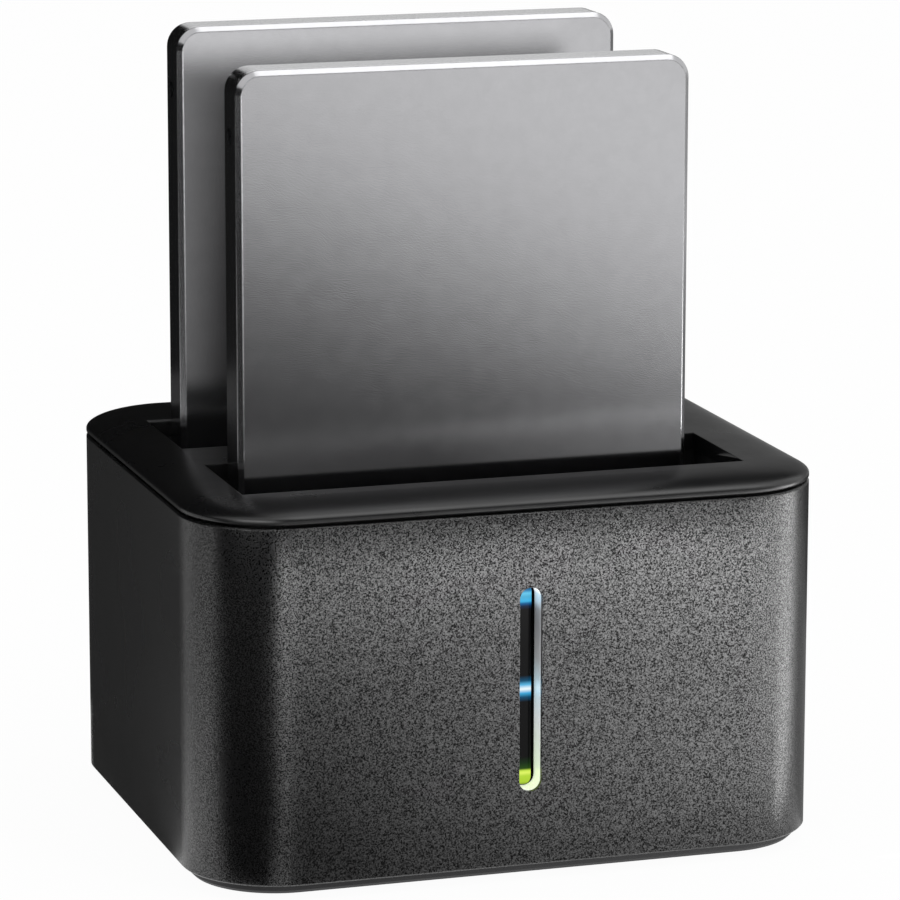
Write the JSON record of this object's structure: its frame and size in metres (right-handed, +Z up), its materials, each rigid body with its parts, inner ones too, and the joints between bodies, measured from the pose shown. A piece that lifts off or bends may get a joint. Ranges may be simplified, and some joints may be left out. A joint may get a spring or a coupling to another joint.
{
  "type": "hard drive docking station",
  "caption": "Upright desktop dock for slim drives: rounded grained case, crowned top with drive bays, front light strip, ports and power button behind",
  "frame": {"origin": "centre of the case's footprint, on the surface that the rubber feet stand on", "axes": "+X to the right seen from the front, +Y towards the back, +Z up"},
  "size_m": [0.0966, 0.0838, 0.12],
  "materials": {
    "grained_plastic": "moulded, fine grain",
    "satin_plastic": "moulded, satin",
    "inner_plastic": "moulded, plain",
    "foot_rubber": "matt",
    "bright_plating": "plated, satin",
    "smoked_lens": "polished",
    "blue_light": "lit",
    "green_light": "lit",
    "blasted_aluminium": "bead blasted, anodised",
    "grey_aluminium": "anodised, satin",
    "circuit_board": "solder mask",
    "chip_epoxy": "moulded",
    "contact_gold": "plated",
    "plated_steel": "nickel plated",
    "socket_plastic": "moulded",
    "ferrite": "sintered",
    "can_aluminium": "drawn"
  },
  "bodies": {
    "dock": {"outer_shell": "grained_plastic", "top_cover": "satin_plastic", "base_plate": "inner_plastic", "bay_cradle": "inner_plastic", "rubber_feet": "foot_rubber", "case_screws": "plated_steel", "cradle_screws": "plated_steel", "board_screws": "plated_steel", "main_board": "circuit_board", "front_socket": "socket_plastic", "rear_socket": "socket_plastic", "socket_riser": "socket_plastic", "front_socket_contacts": "contact_gold", "rear_socket_contacts": "contact_gold", "bridge_chip": "chip_epoxy", "memory_chip": "chip_epoxy", "regulators": "chip_epoxy", "chip_leads": "plated_steel", "capacitors": "can_aluminium", "inductors": "ferrite", "crystal_can": "plated_steel", "led_board": "circuit_board", "led_header": "socket_plastic", "header_pin_row": "contact_gold", "upper_led": "blue_light", "middle_led": "blue_light", "lower_led": "green_light", "light_bezel": "bright_plating", "light_lens": "smoked_lens", "light_holder": "inner_plastic", "usb_shell": "plated_steel", "usb_insulator": "socket_plastic", "usb_contacts": "contact_gold", "power_jack": "socket_plastic", "jack_pin": "plated_steel", "power_switch": "socket_plastic"},
    "button": {"power_button": "satin_plastic", "switch_plunger": "socket_plastic"},
    "front_drive": {"front_drive_cover": "blasted_aluminium", "front_drive_case": "grey_aluminium", "front_drive_board": "circuit_board", "front_drive_chips": "chip_epoxy", "front_drive_plug": "socket_plastic", "front_drive_contacts": "contact_gold", "front_drive_screws": "plated_steel"},
    "rear_drive": {"rear_drive_cover": "blasted_aluminium", "rear_drive_case": "grey_aluminium", "rear_drive_board": "circuit_board", "rear_drive_chips": "chip_epoxy", "rear_drive_plug": "socket_plastic", "rear_drive_contacts": "contact_gold", "rear_drive_screws": "plated_steel"}
  },
  "joints": [
    {"name": "front_drive_slide", "type": "slide", "parent": "dock", "child": "front_drive", "axis": [0, 0, 1], "range_m": [0, 0.045]},
    {"name": "rear_drive_slide", "type": "slide", "parent": "dock", "child": "rear_drive", "axis": [0, 0, 1], "range_m": [0, 0.045]},
    {"name": "power_button_press", "type": "slide", "parent": "dock", "child": "button", "axis": [0, -1, 0], "range_m": [0, 0.002], "stiffness_N_per_m": 600}
  ]
}
